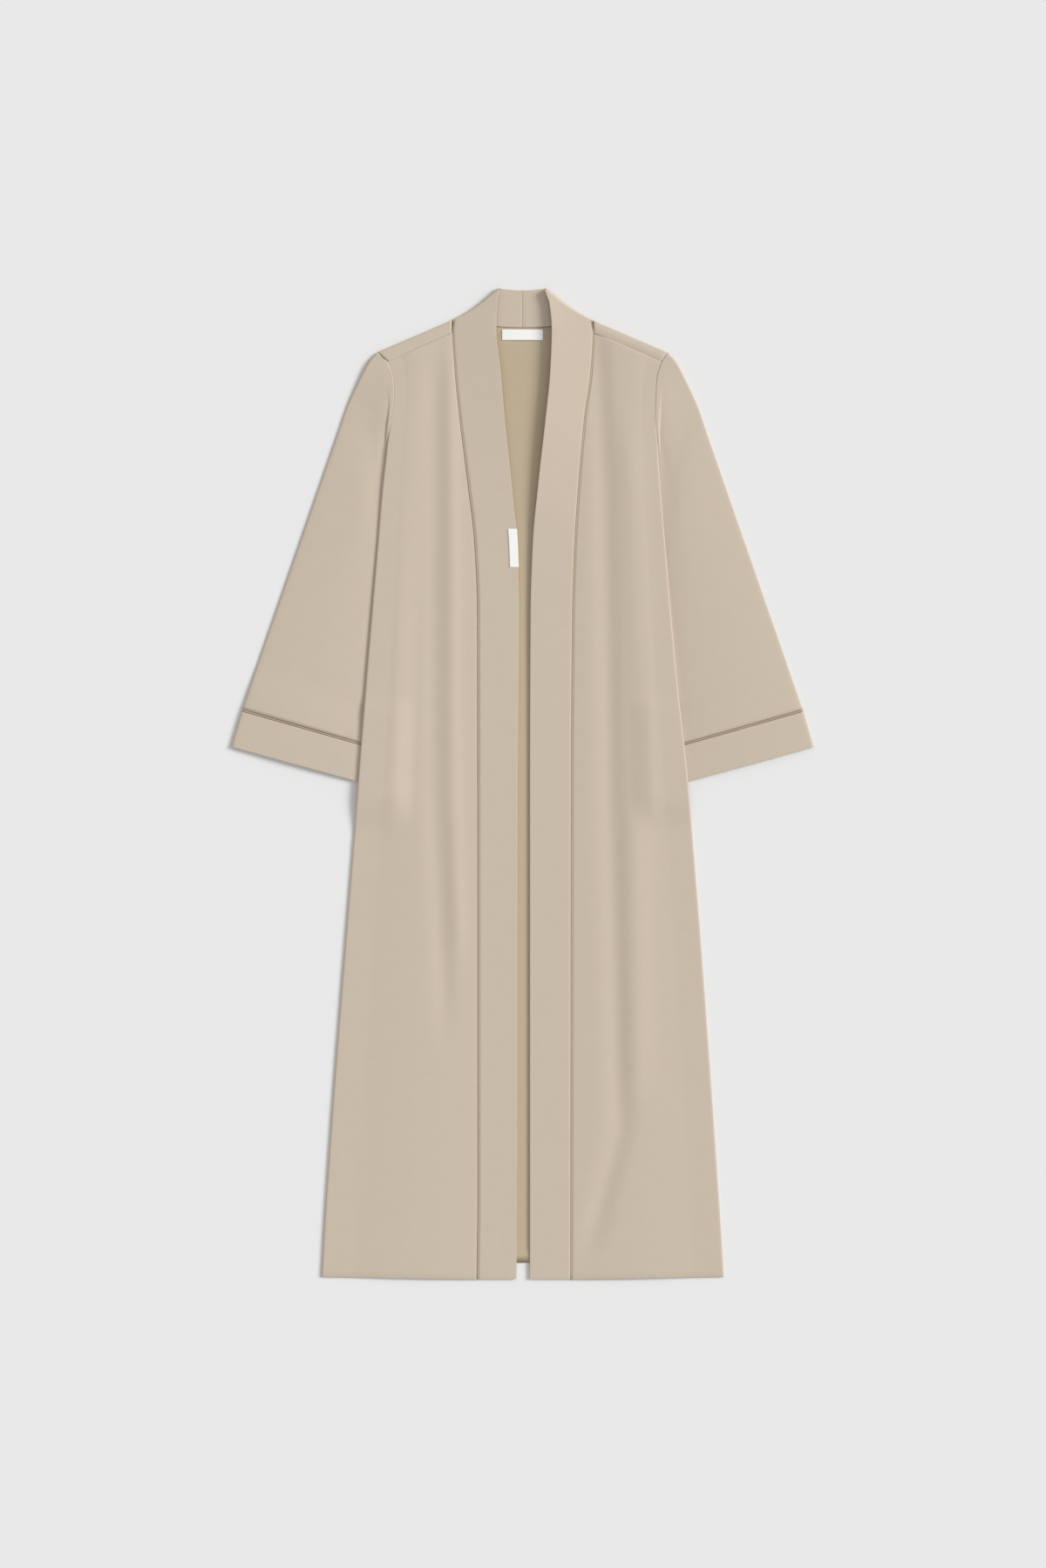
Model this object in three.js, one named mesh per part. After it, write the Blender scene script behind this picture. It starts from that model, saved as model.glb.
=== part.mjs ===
// Abaya cloak laid out flat: an open-front robe with wide sleeves, deep turned cuffs, and a doubled
// band that runs up each front edge and round the back of the neck.
// Millimetres, +Z up. The cloak lies on z = 0 on its back, with its neck towards +Y.
// The origin is the middle of the laid-out cloak, on the surface that it lies on.
// The wearer's right is at -X and their left at +X, so the tables' columns end in R or L.
import * as THREE from 'three';

// ---- Driving dimensions ----------------------------------------------------------------------

const CLOTH = 1.2; // one layer of crepe
const DOUBLED = 2.4; // bands and cuffs are cut double
const SEAM_GAP = 0.3; // clearance between pieces that are sewn together
const PIPING_WIDTH = 3;
const PIPING_THICKNESS = 1.8;
const LABEL_THICKNESS = 0.8;

const HALF_LENGTH = 710; // hem of the bands and corners of the neck, from the middle
const SIDE_HEM = -706; // the hem at the side folds
const BACK_HEM = -686; // the back hem lies a little higher at the centre
const NECK_SEAM = 654; // back neck seam, on the centre line
const NECK_DIP = 3; // how far the top of the neck band sinks between its corners
const UNDERARM = { x: 190.6, y: 392 };

// The neck ends of the shoulder fold and of the band's fold, and the neck corner that they lead to.
const BAND_FOLD = { x: 99.8, y: 665 };
const NECK_CORNER = { x: 35.6, y: HALF_LENGTH };
const BAND_FOLD_SAG = 4; // the band's fold hangs this far below a straight line
const SHOULDER_TIP = { x: 208, y: 618 };
const SHOULDER_SEAM = { neckY: 646, tipY: 604 }; // forward shoulder seam, where the front begins

const SIDE_ROLL = 1.2; // radius at which the front turns under at the side
const SIDE_TURN = 9; // width of the front that lies underneath, up to the side seam
const FRONT_BULGE = 1.6; // the fronts rise this far between band and side
const SLEEVE_BULGE = 1.3;
const CUFF_BULGE = 0.5;

// Distances from the centre line at each height: the middle of the band seam, the band's free edge,
// and how high that free edge stands over the surface.
const BAND_ROWS = [
  { y: 710, seamR: 99.8, seamL: 101.8, edgeR: 35.6, edgeL: 35.6, liftR: 7.5, liftL: 11 },
  { y: 650, seamR: 99.6, seamL: 101.5, edgeR: 37.5, edgeL: 41.8, liftR: 8, liftL: 13 },
  { y: 590, seamR: 96.2, seamL: 98.2, edgeR: 31.3, edgeL: 39.6, liftR: 7.6, liftL: 13 },
  { y: 524, seamR: 89.4, seamL: 89.3, edgeR: 25.6, edgeL: 33.1, liftR: 6.6, liftL: 12.5 },
  { y: 424, seamR: 76.6, seamL: 80.6, edgeR: 14.9, edgeL: 21.9, liftR: 5, liftL: 9.5 },
  { y: 341, seamR: 67.3, seamL: 75.3, edgeR: 7.5, edgeL: 14.4, liftR: 4, liftL: 5.8 },
  { y: 245, seamR: 63.5, seamL: 72.3, edgeR: 5, edgeL: 11.5, liftR: 3.3, liftL: 4.4 },
  { y: 0, seamR: 63.3, seamL: 70.5, edgeR: 7, edgeL: 10.6, liftR: 3, liftL: 3.2 },
  { y: -600, seamR: 63.1, seamL: 69.8, edgeR: 7.8, edgeL: 10.6, liftR: 3, liftL: 3 },
  { y: -710, seamR: 64.3, seamL: 69.6, edgeR: 8.9, edgeL: 10.6, liftR: 3, liftL: 3 },
];

// The outer limit of each front: the armhole seam down to where the sleeve passes under the body,
// then the side fold down to the hem.
const SIDE_ROWS = [
  { y: 604, sideR: 192.8, sideL: 198.6 },
  { y: 582, sideR: 185.2, sideL: 192.4 },
  { y: 560, sideR: 184, sideL: 190.8 },
  { y: 522, sideR: 188.1, sideL: 190.1 },
  { y: 477, sideR: 194.4, sideL: 193.6 },
  { y: 424, sideR: 200.8, sideL: 197.6 },
  { y: 341, sideR: 207.8, sideL: 204.6 },
  { y: 245, sideR: 216, sideL: 212.6 },
  { y: 149, sideR: 224, sideL: 221.5 },
  { y: 0, sideR: 235.8, sideL: 237.4 },
  { y: -601, sideR: 282.1, sideL: 282.4 },
  { y: -706, sideR: 288.1, sideL: 288.9 },
];

// Heights of the cloth's middle at the side fold of the fronts, and the rise of the back panel's
// edge. Both climb over the sleeve, climb again over its cuff, and drop to the surface below it.
const SIDE_LEVELS = [
  { y: 604, front: 5.9, backRise: 0 },
  { y: 486, front: 6.5, backRise: 0 },
  { y: 441, front: 6.5, backRise: 3.5 },
  { y: 130, front: 6.5, backRise: 3.5 },
  { y: 100, front: 8.6, backRise: 5.6 },
  { y: -14, front: 8.6, backRise: 5.6 },
  { y: -75, front: 3, backRise: 0 },
  { y: -706, front: 3, backRise: 0 },
];

// The folded top edge of a sleeve, from the shoulder tip to the cuff seam.
const SLEEVE_ROWS = [
  { y: 618, outer: 208 },
  { y: 608, outer: 218 },
  { y: 595, outer: 226 },
  { y: 578, outer: 234.4 },
  { y: 544, outer: 250 },
  { y: 500, outer: 265.3 },
  { y: 105, outer: 402.5 },
];
const CUFF_SEAM = { outer: { x: 402.5, y: 105 }, inner: { x: 201.3, y: 48 } };
const CUFF_EDGE = { outer: { x: 418, y: 52 }, inner: { x: 203, y: -8 } };

// The largest fold of each front: a soft trough, by its distance from the centre line.
const FRONT_TROUGHS = [
  { y: 640, troughR: 112, troughL: 106 },
  { y: 560, troughR: 118, troughL: 110 },
  { y: 480, troughR: 122, troughL: 130 },
  { y: 270, troughR: 124, troughL: 142 },
  { y: 0, troughR: 123, troughL: 144 },
  { y: -250, troughR: 114, troughL: 150 },
  { y: -500, troughR: 92, troughL: 155 },
  { y: -706, troughR: 80, troughL: 76 },
];
const MOST_OVERLAP = 27; // how far the body lies over the sleeve
const FRONT_RISE = { start: 50, end: 14 }; // the front climbs the sleeve, from its hidden edge inward
const BULGE_SHARE = 0.8; // share of a panel's width over which it swells
const SEAM_SLANT_START = 300; // where the cross rows begin to slant up to the shoulder
const HEM_SLANT_TOP = -500; // where they begin to slant down to the hem
const SEAM_LEVEL = { low: 3, rise: 1.8, from: 100, to: 560 }; // height of the band seam
const BAND_LEAN = { start: 470, power: 1.2 }; // how the band's lines lean up to the shoulder
const SLEEVE_SWELL = { start: 0.08, end: 0.3 }; // shares of the sleeve's length
const CUFF_RISE = { start: 0.86, end: 0.97 }; // where the sleeve rises to the cuff
const TROUGH_DEPTH = 1.6;
const TROUGH_WIDTH = 22;

// How finely each stretch of the body is divided, from the shoulder down: the armhole, the side over
// the sleeve, the climb on to the cuff, the cuff, the drop off it, and the skirt.
const BODY_STRETCHES = [
  { to: UNDERARM.y, steps: 9 },
  { to: 130, steps: 4 },
  { to: 100, steps: 1 },
  { to: -14, steps: 2 },
  { to: -75, steps: 2 },
  { to: SIDE_HEM, steps: 8 },
];
const ARMHOLE_STEPS = BODY_STRETCHES[0].steps;
const ROLL_START = 6; // the row from which the front's side is a fold and no longer the armhole

const NECK_LABEL = { width: 59, height: 15.2, top: 651 };
const BAND_LABEL = { onBand: 11.8, pastEdge: 0.8, top: 365, bottom: 310 };

const CLOTH_COLOUR = 0xc8baa8;
const TRIM_COLOUR = 0xcdbfae;
const LABEL_COLOUR = 0xf4f2ee;

// ---- Small maths -----------------------------------------------------------------------------

const { lerp, clamp, degToRad } = THREE.MathUtils;
const blend = (value, low, high) => THREE.MathUtils.smoothstep(value, low, high);

// A smooth curve through one column of a table whose heights run downwards. It never overshoots.
function column(table, key) {
  const last = table.length - 1;
  const slope = (a, b) => (b[key] - a[key]) / (b.y - a.y);
  const tangents = table.map((row, i) => {
    if (i === 0) return slope(row, table[1]);
    if (i === last) return slope(table[i - 1], row);
    const before = slope(table[i - 1], row);
    const after = slope(row, table[i + 1]);
    return before * after <= 0 ? 0 : (2 * before * after) / (before + after);
  });
  return (y) => {
    if (y >= table[0].y) return table[0][key];
    if (y <= table[last].y) return table[last][key];
    const i = table.findIndex((row) => row.y <= y) - 1;
    const [a, b] = [table[i], table[i + 1]];
    const span = b.y - a.y;
    const t = (y - a.y) / span;
    const [t2, t3] = [t ** 2, t ** 3];
    return (2 * t3 - 3 * t2 + 1) * a[key] + (t3 - 2 * t2 + t) * span * tangents[i]
      + (3 * t2 - 2 * t3) * b[key] + (t3 - t2) * span * tangents[i + 1];
  };
}

const backRise = column(SIDE_LEVELS, 'backRise');
const frontLevel = column(SIDE_LEVELS, 'front');
const sleeveOuter = column(SLEEVE_ROWS, 'outer');

// One side of the cloak: its own curves, and its points from distances off the centre line.
function sideOf(name, dir, end) {
  return {
    name,
    seam: column(BAND_ROWS, `seam${end}`),
    edge: column(BAND_ROWS, `edge${end}`),
    lift: column(BAND_ROWS, `lift${end}`),
    limit: column(SIDE_ROWS, `side${end}`),
    trough: column(FRONT_TROUGHS, `trough${end}`),
    at: (x, y, z = 0) => new THREE.Vector3(dir * x, y, z),
  };
}
const SIDES = [sideOf('right', -1, 'R'), sideOf('left', 1, 'L')];

// ---- Cloth as a sheet of points given a thickness ---------------------------------------------

class Sheet {
  constructor() {
    this.points = [];
    this.triangles = [];
    this.known = new Map();
  }

  index(point) {
    const key = point.toArray().map((value) => Math.round(value * 1e3)).join();
    if (!this.known.has(key)) {
      this.known.set(key, this.points.length);
      this.points.push(point);
    }
    return this.known.get(key);
  }

  // Rows of points become triangles. Rows that repeat points of an earlier grid join on to it.
  addGrid(rows) {
    const ids = rows.map((row) => row.map((point) => this.index(point)));
    for (let i = 0; i + 1 < ids.length; i += 1) {
      for (let j = 0; j + 1 < ids[i].length; j += 1) {
        const [a, b, c, d] = [ids[i][j], ids[i][j + 1], ids[i + 1][j + 1], ids[i + 1][j]];
        for (const corners of [[a, b, c], [a, c, d]]) {
          if (new Set(corners).size === 3) this.triangles.push(corners);
        }
      }
    }
    return this;
  }

  // A closed wall: the sheet moved out by half the thickness on each side, with its edges closed.
  thicken(thickness) {
    const normals = this.points.map(() => new THREE.Vector3());
    const edges = new Set();
    for (const corners of this.triangles) {
      const [a, b, c] = corners.map((id) => this.points[id]);
      const normal = b.clone().sub(a).cross(c.clone().sub(a));
      corners.forEach((id, k) => {
        normals[id].add(normal);
        edges.add(`${id},${corners[(k + 1) % 3]}`);
      });
    }
    normals.forEach((normal) => normal.normalize());
    const count = this.points.length;
    const vertices = [1, -1].flatMap((face) => this.points.flatMap((point, id) => (
      point.clone().addScaledVector(normals[id], (face * thickness) / 2).toArray()
    )));
    const faces = this.triangles.flatMap(([a, b, c]) => [a, b, c, a + count, c + count, b + count]);
    for (const edge of edges) {
      const [a, b] = edge.split(',').map(Number);
      if (!edges.has(`${b},${a}`)) faces.push(b, a, a + count, b, a + count, b + count);
    }
    const geometry = new THREE.BufferGeometry();
    geometry.setAttribute('position', new THREE.Float32BufferAttribute(vertices, 3));
    geometry.setIndex(faces);
    geometry.computeVertexNormals();
    return geometry;
  }
}

// Angles of the points that carry cloth round a fold, from its upper layer to its lower one.
const FOLD_ANGLES = [90, 45, 0, -45, -90].map(degToRad);
const HALF_FOLD = 3; // the first points of a fold, from its upper layer to its outermost

// Points round a fold whose cloth reaches out to `outline`; `inward` leads in from it, in plan.
function foldPoints(outline, inward, upper, lower, thickness) {
  const radius = (upper - lower) / 2;
  return FOLD_ANGLES.map((angle) => {
    const inset = thickness / 2 + radius * (1 - Math.cos(angle));
    const point = outline.clone().addScaledVector(inward, inset);
    point.z = lower + radius * (1 + Math.sin(angle));
    return point;
  });
}

const leading = (from, to) => new THREE.Vector3(to.x - from.x, to.y - from.y, 0).normalize();
const transpose = (rows) => rows[0].map((_, j) => rows.map((row) => row[j]));

// ---- Rows that the body's pieces share --------------------------------------------------------

const bodyRows = BODY_STRETCHES.reduce((heights, { to, steps }) => {
  const from = heights[heights.length - 1];
  return [...heights, ...Array.from({ length: steps }, (_, k) => lerp(from, to, (k + 1) / steps))];
}, [SHOULDER_SEAM.tipY]);

// The row that meets the side at `y` meets the band seam higher up, where the shoulder slants.
const seamHeight = (y) => y
  + (SHOULDER_SEAM.neckY - SHOULDER_SEAM.tipY) * blend(y, SEAM_SLANT_START, SHOULDER_SEAM.tipY)
  - (HALF_LENGTH + SIDE_HEM) * (1 - blend(y, SIDE_HEM, HEM_SLANT_TOP));

// Height of the cloth's middle at the band seam.
const seamLevel = (y) => SEAM_LEVEL.low + SEAM_LEVEL.rise * blend(y, SEAM_LEVEL.from, SEAM_LEVEL.to);

// ---- Bands and their piping -------------------------------------------------------------------

const SEWN_EDGE = PIPING_WIDTH / 2 + SEAM_GAP; // from the middle of the piping

// A line across the band, from the middle of the piping to the band's free edge.
function frontBandLine(side, y) {
  const up = blend(y, BAND_LEAN.start, BAND_FOLD.y) ** BAND_LEAN.power;
  const freeY = y + (HALF_LENGTH - BAND_FOLD.y) * up;
  return {
    sewn: side.at(side.seam(y), y, seamLevel(y)),
    free: side.at(side.edge(freeY), freeY, side.lift(freeY)),
    sag: BAND_FOLD_SAG * up ** 3,
  };
}

// The same line on the part of the band that goes round the back of the neck, which ends at the
// centre-back seam. `part` runs from the shoulder to that seam.
function neckBandLine(side, part) {
  const left = 1 - part;
  const dip = Math.sin((part * Math.PI) / 2) * NECK_DIP;
  const seamY = NECK_SEAM - SEWN_EDGE + (BAND_FOLD.y - NECK_SEAM + SEWN_EDGE) * left ** 2;
  return {
    sewn: side.at(lerp(SEAM_GAP / 2, BAND_FOLD.x, left), seamY, DOUBLED / 2),
    free: side.at(lerp(SEAM_GAP / 2, NECK_CORNER.x, left), HALF_LENGTH - dip, DOUBLED / 2),
    sag: 0,
  };
}

// The point of a band line at a distance from the middle of the piping.
function pointOn({ sewn, free, sag }, distance) {
  const along = distance / Math.hypot(free.x - sewn.x, free.y - sewn.y);
  const point = sewn.clone().lerp(free, along);
  point.y -= sag * Math.sin(Math.PI * clamp(along, 0, 1));
  return point;
}

// Points spread along a band line from one distance to another, or to its free edge.
function spread(line, near, far, parts) {
  const end = far ?? Math.hypot(line.free.x - line.sewn.x, line.free.y - line.sewn.y);
  return Array.from({ length: parts + 1 }, (_, k) => pointOn(line, lerp(near, end, k / parts)));
}

// Rows round the fold at the shoulder, where the band turns over to go round the neck.
function bandFoldRows(side, near, far, parts) {
  const sewn = side.at(BAND_FOLD.x, BAND_FOLD.y, seamLevel(BAND_FOLD.y));
  const free = side.at(NECK_CORNER.x, NECK_CORNER.y, side.lift(NECK_CORNER.y));
  const run = leading(sewn, free);
  const inward = new THREE.Vector3(-Math.abs(run.y) * Math.sign(sewn.x), -Math.abs(run.x), 0);
  const outline = spread({ sewn, free, sag: BAND_FOLD_SAG }, near, far, parts);
  return transpose(outline.map((point) => foldPoints(point, inward, point.z, DOUBLED / 2, DOUBLED)));
}

const NECK_STEPS = [1 / 3, 2 / 3, 1];
const BAND_PARTS = 3; // divisions across the band

const frontBandLines = (side) => bodyRows.map((y) => frontBandLine(side, seamHeight(y))).reverse();

function band(side) {
  const rows = [
    ...frontBandLines(side).map((line) => spread(line, SEWN_EDGE, null, BAND_PARTS)),
    ...bandFoldRows(side, SEWN_EDGE, null, BAND_PARTS),
    ...NECK_STEPS.map((part) => spread(neckBandLine(side, part), SEWN_EDGE, null, BAND_PARTS)),
  ];
  return new Sheet().addGrid(rows).thicken(DOUBLED);
}

// The piping runs up the front seam and over the shoulder fold, where it goes out of sight.
function bandPiping(side) {
  const half = PIPING_WIDTH / 2;
  const rows = [
    ...frontBandLines(side).map((line) => spread(line, -half, half, 1)),
    ...bandFoldRows(side, -half, half, 1).slice(0, HALF_FOLD),
  ];
  return new Sheet().addGrid(rows).thicken(PIPING_THICKNESS);
}

// ---- Fronts -----------------------------------------------------------------------------------

// How far the sleeve reaches in under the body at each height.
const sleeveInner = (y) => (y > CUFF_SEAM.inner.y
  ? lerp(CUFF_SEAM.inner.x, UNDERARM.x, (y - CUFF_SEAM.inner.y) / (UNDERARM.y - CUFF_SEAM.inner.y))
  : lerp(CUFF_SEAM.inner.x, CUFF_EDGE.inner.x, (CUFF_SEAM.inner.y - y) / (CUFF_SEAM.inner.y - CUFF_EDGE.inner.y)));

// The back panel's own edge: the armhole, then the side seam just inside the side fold.
const backEdge = (side, row) => side.limit(bodyRows[row]) - (row < ROLL_START ? 0 : SIDE_TURN);
const overlap = (side, row) => clamp(backEdge(side, row) - sleeveInner(bodyRows[row]), 0, MOST_OVERLAP);

const FRONT_COLUMNS = [0, 0.2, 0.4, 0.6, 0.8, 1];

function front(side) {
  const rows = bodyRows.map((y, row) => {
    const seamY = seamHeight(y);
    const start = pointOn(frontBandLine(side, seamY), -SEWN_EDGE);
    const end = side.at(side.limit(y), y, frontLevel(y));
    const covered = backEdge(side, row) - overlap(side, row);
    const flat = (covered - FRONT_RISE.start) / side.limit(y);
    const full = (covered - FRONT_RISE.end) / side.limit(y);
    const seamPart = Math.abs(start.x) / side.limit(y);
    const places = [...FRONT_COLUMNS.map((part) => lerp(seamPart, flat, part)), full, 1];
    const trough = side.trough(y) / side.limit(y);
    return places.map((place) => {
      const across = (place - seamPart) / (1 - seamPart);
      const point = start.clone().lerp(end, across);
      const width = (place - trough) * side.limit(y);
      const sunk = TROUGH_DEPTH * Math.exp(-((width / TROUGH_WIDTH) ** 2)) * (across > 0 ? 1 : 0);
      const bulge = FRONT_BULGE * Math.sin(Math.PI * clamp(across / BULGE_SHARE, 0, 1));
      point.z = lerp(start.z, end.z, blend(place, flat, full)) + bulge - sunk;
      return point;
    });
  });
  // From the crossing with the sleeve down, the front turns under at the side.
  const turned = rows.slice(ROLL_START).map((row) => {
    const end = row[row.length - 1];
    const [inward, lower] = [leading(end, row[0]), end.z - 2 * SIDE_ROLL];
    const [, ...round] = foldPoints(end, inward, end.z, lower, 0);
    const seam = end.clone().addScaledVector(inward, SIDE_TURN - SEAM_GAP);
    return [end, ...round, seam.setZ(lower)];
  });
  return new Sheet().addGrid(rows).addGrid(turned).thicken(CLOTH);
}

// ---- Back, with the shoulders that it wraps forward over ----------------------------------------

const SHOULDER_PARTS = [0, 0.33, 0.66, 0.94, 1]; // divisions of the shoulder fold, out to its tip
const COVER_MARGIN = 6; // the back is fully up this far in from the sleeve's hidden edge
const CLIMB = 30; // width over which it comes up
const HEM_CURVE = 120; // the hem's curve fades out this far up the back

// Columns of points across the shoulder, each from the forward shoulder seam over the fold to the
// lower layer.
function shoulderColumns(side) {
  const foldRun = leading(side.at(BAND_FOLD.x, BAND_FOLD.y), side.at(NECK_CORNER.x, NECK_CORNER.y));
  const neckCorner = side.at(BAND_FOLD.x, BAND_FOLD.y).addScaledVector(foldRun, -SEWN_EDGE);
  const tip = side.at(SHOULDER_TIP.x, SHOULDER_TIP.y);
  const { tipY, neckY } = SHOULDER_SEAM;
  const seamStart = pointOn(frontBandLine(side, neckY), -SEWN_EDGE);
  const seamEnd = side.at(side.limit(tipY), tipY, frontLevel(tipY));
  return SHOULDER_PARTS.map((part) => {
    const outline = neckCorner.clone().lerp(tip, part);
    const seam = seamStart.clone().lerp(seamEnd, part);
    const inward = leading(outline, seam);
    const fold = foldPoints(outline, inward, seam.z, CLOTH / 2, CLOTH);
    return [seam.addScaledVector(inward, -SEAM_GAP), ...fold];
  });
}

// Half of the back from its neck seam and shoulder down to the hem, from the centre line outwards.
function backHalf(side) {
  const shoulder = shoulderColumns(side);
  const neck = [...NECK_STEPS].reverse().map((part) => (
    pointOn(neckBandLine(side, part), PIPING_WIDTH / 2)
  ));
  neck[0].x = 0;
  neck.push(bandFoldRows(side, PIPING_WIDTH / 2, SEWN_EDGE, 1).pop()[0]);
  const top = [...neck, ...shoulder.map((points) => points[points.length - 1])];
  top.forEach((point) => point.setZ(CLOTH / 2));
  const [outermost, flatColumn] = [top.length - 1, top.length - 3];
  const rows = bodyRows.map((y, row) => {
    const edge = backEdge(side, row);
    const full = edge - overlap(side, row) - COVER_MARGIN;
    const spreadOut = (full - CLIMB) / Math.abs(top[flatColumn].x);
    const pull = blend(y, UNDERARM.y, SHOULDER_TIP.y);
    const hem = (BACK_HEM - SIDE_HEM) * (1 - blend(y, SIDE_HEM, SIDE_HEM + HEM_CURVE));
    return top.map((start, k) => {
      if (k === outermost) return side.at(edge, y, CLOTH / 2 + backRise(y));
      const x = k > flatColumn ? full : Math.abs(start.x) * spreadOut;
      const rise = k > flatColumn ? backRise(y) : 0;
      const up = (start.y - SHOULDER_TIP.y) * pull + hem * (1 - (x / edge) ** 2);
      return side.at(x, y + up, CLOTH / 2 + rise);
    });
  });
  return { rows: [top, ...rows], shoulder: transpose(shoulder) };
}

function back() {
  const [right, left] = SIDES.map(backHalf);
  return new Sheet()
    .addGrid(right.rows.map((row, k) => [...row.slice(1).reverse(), ...left.rows[k]]))
    .addGrid(right.shoulder.map((row) => row.reverse()))
    .addGrid(left.shoulder)
    .thicken(CLOTH);
}

// ---- Sleeves and cuffs ------------------------------------------------------------------------

const SLEEVE_TOP = 2.6; // height of the middle of the sleeve's upper layer
const CUFF_TOP = 4;
const SLEEVE_PARTS = [0, 0.016, 0.024, 0.06, 0.12, 0.22, 0.34, 0.48, 0.62, 0.76, 0.88, 1];

// A row round a flattened tube: over the top from its outer fold to its inner one, and back below.
function tubeRow(plan, tops, bottom, thickness) {
  const last = plan.length - 1;
  const outer = foldPoints(plan[0], leading(plan[0], plan[1]), tops[0], bottom, thickness);
  const inner = foldPoints(plan[last], leading(plan[last], plan[last - 1]), tops[last], bottom, thickness);
  const over = plan.slice(1, last).map((point, k) => point.clone().setZ(tops[k + 1]));
  const under = plan.slice(1, last).map((point) => point.clone().setZ(bottom)).reverse();
  return [outer[0], ...over, ...inner, ...under, ...outer.slice(1).reverse(), outer[0]];
}

// The armhole of a sleeve: the shoulder tip, the body's own rows, and on under the body's side to
// the underarm. It stands off the body's edge by the seam gap.
function armhole(side) {
  const hidden = ROLL_START - 1;
  const along = bodyRows.slice(0, ARMHOLE_STEPS + 1).map((y, row) => {
    const under = clamp((row - hidden) / (ARMHOLE_STEPS - hidden), 0, 1);
    const x = under > 0 ? lerp(side.limit(bodyRows[hidden]), UNDERARM.x, under) : side.limit(y);
    return side.at(x, y);
  });
  const seam = [side.at(SHOULDER_TIP.x, SHOULDER_TIP.y), ...along];
  return seam.map((point, k) => {
    const run = leading(seam[Math.max(k - 1, 0)], seam[Math.min(k + 1, seam.length - 1)]);
    const away = new THREE.Vector3(-run.y, run.x, 0);
    if (away.x * point.x < 0) away.negate();
    return point.clone().addScaledVector(away, SEAM_GAP);
  });
}

// A line across the cuff, this far down from the middle of its seam, from outer to inner fold.
function cuffLine(side, offset) {
  return ['outer', 'inner'].map((end) => {
    const [seam, edge] = [CUFF_SEAM[end], CUFF_EDGE[end]].map(({ x, y }) => side.at(x, y));
    return seam.addScaledVector(leading(seam, edge), offset);
  });
}
const CUFF_DEPTH = Math.hypot(
  CUFF_EDGE.outer.x - CUFF_SEAM.outer.x,
  CUFF_EDGE.outer.y - CUFF_SEAM.outer.y,
);

// How far along the armhole each of its points lies, from the shoulder tip to the underarm.
function fractions(points) {
  const steps = points.slice(1).map((point, k) => point.distanceTo(points[k]));
  const total = steps.reduce((sum, step) => sum + step, 0);
  return points.map((_, k) => steps.slice(0, k).reduce((sum, step) => sum + step, 0) / total);
}

// Height of the upper layer where the sleeve is sewn in: level with the front, down to where the
// sleeve passes under the body.
const armholeLevel = (y) => lerp(SLEEVE_TOP, frontLevel(y), blend(y, 470, 525));

function sleeve(side) {
  const seam = armhole(side);
  const across = fractions(seam);
  const [tip, underarm] = [seam[0], seam[seam.length - 1]];
  const [endOuter, endInner] = cuffLine(side, -SEWN_EDGE);
  const rows = SLEEVE_PARTS.map((v) => {
    const y = lerp(tip.y, endOuter.y, v);
    const outer = v === 0 ? tip : side.at(sleeveOuter(y), y);
    const inner = underarm.clone().lerp(endInner, v);
    if (v === 1) outer.copy(endOuter);
    const plan = seam.map((start, k) => {
      const u = across[k];
      const end = endOuter.clone().lerp(endInner, u);
      const corners = tip.clone().lerp(underarm, u).lerp(end, v);
      return start.clone().lerp(end, v).add(outer.clone().lerp(inner, u)).sub(corners);
    });
    const tops = plan.map((point, k) => {
      const away = Math.hypot(point.x - seam[k].x, point.y - seam[k].y);
      const pleat = blend(-seam[k].y, -590, -480);
      const held = lerp(1 - blend(away, 0, 75), 1 - blend(away, 6, 10), pleat);
      const head = (armholeLevel(seam[k].y) - SLEEVE_TOP) * held;
      const bulge = SLEEVE_BULGE * blend(v, SLEEVE_SWELL.start, SLEEVE_SWELL.end) * Math.sin(Math.PI * clamp(across[k] / BULGE_SHARE, 0, 1));
      return SLEEVE_TOP + head + bulge + (CUFF_TOP - SLEEVE_TOP) * blend(v, CUFF_RISE.start, CUFF_RISE.end);
    });
    return tubeRow(plan, tops, CLOTH / 2, CLOTH);
  });
  return new Sheet().addGrid(rows).thicken(CLOTH);
}

function cuffTube(side, offsets, bottom, thickness) {
  const across = fractions(armhole(side));
  const rows = offsets.map((offset) => {
    const [outer, inner] = cuffLine(side, offset);
    const plan = across.map((u) => outer.clone().lerp(inner, u));
    const bulge = (u) => CUFF_BULGE * Math.sin(Math.PI * clamp(u / BULGE_SHARE, 0, 1));
    return tubeRow(plan, across.map((u) => CUFF_TOP + bulge(u)), bottom, thickness);
  });
  return new Sheet().addGrid(rows).thicken(thickness);
}

const cuff = (side) => cuffTube(side, [SEWN_EDGE, CUFF_DEPTH / 2, CUFF_DEPTH], DOUBLED / 2, DOUBLED);
const cuffPiping = (side) => cuffTube(
  side,
  [-PIPING_WIDTH / 2, PIPING_WIDTH / 2],
  PIPING_THICKNESS / 2,
  PIPING_THICKNESS,
);

// ---- Labels -----------------------------------------------------------------------------------

const OVER = SEAM_GAP + LABEL_THICKNESS / 2; // from the cloth's face to the middle of a label

function neckLabel() {
  const [half, z] = [NECK_LABEL.width / 2, CLOTH + OVER];
  const rows = [NECK_LABEL.top, NECK_LABEL.top - NECK_LABEL.height].map((y) => (
    [-half, half].map((x) => new THREE.Vector3(x, y, z))
  ));
  return new Sheet().addGrid(rows).thicken(LABEL_THICKNESS);
}

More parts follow.
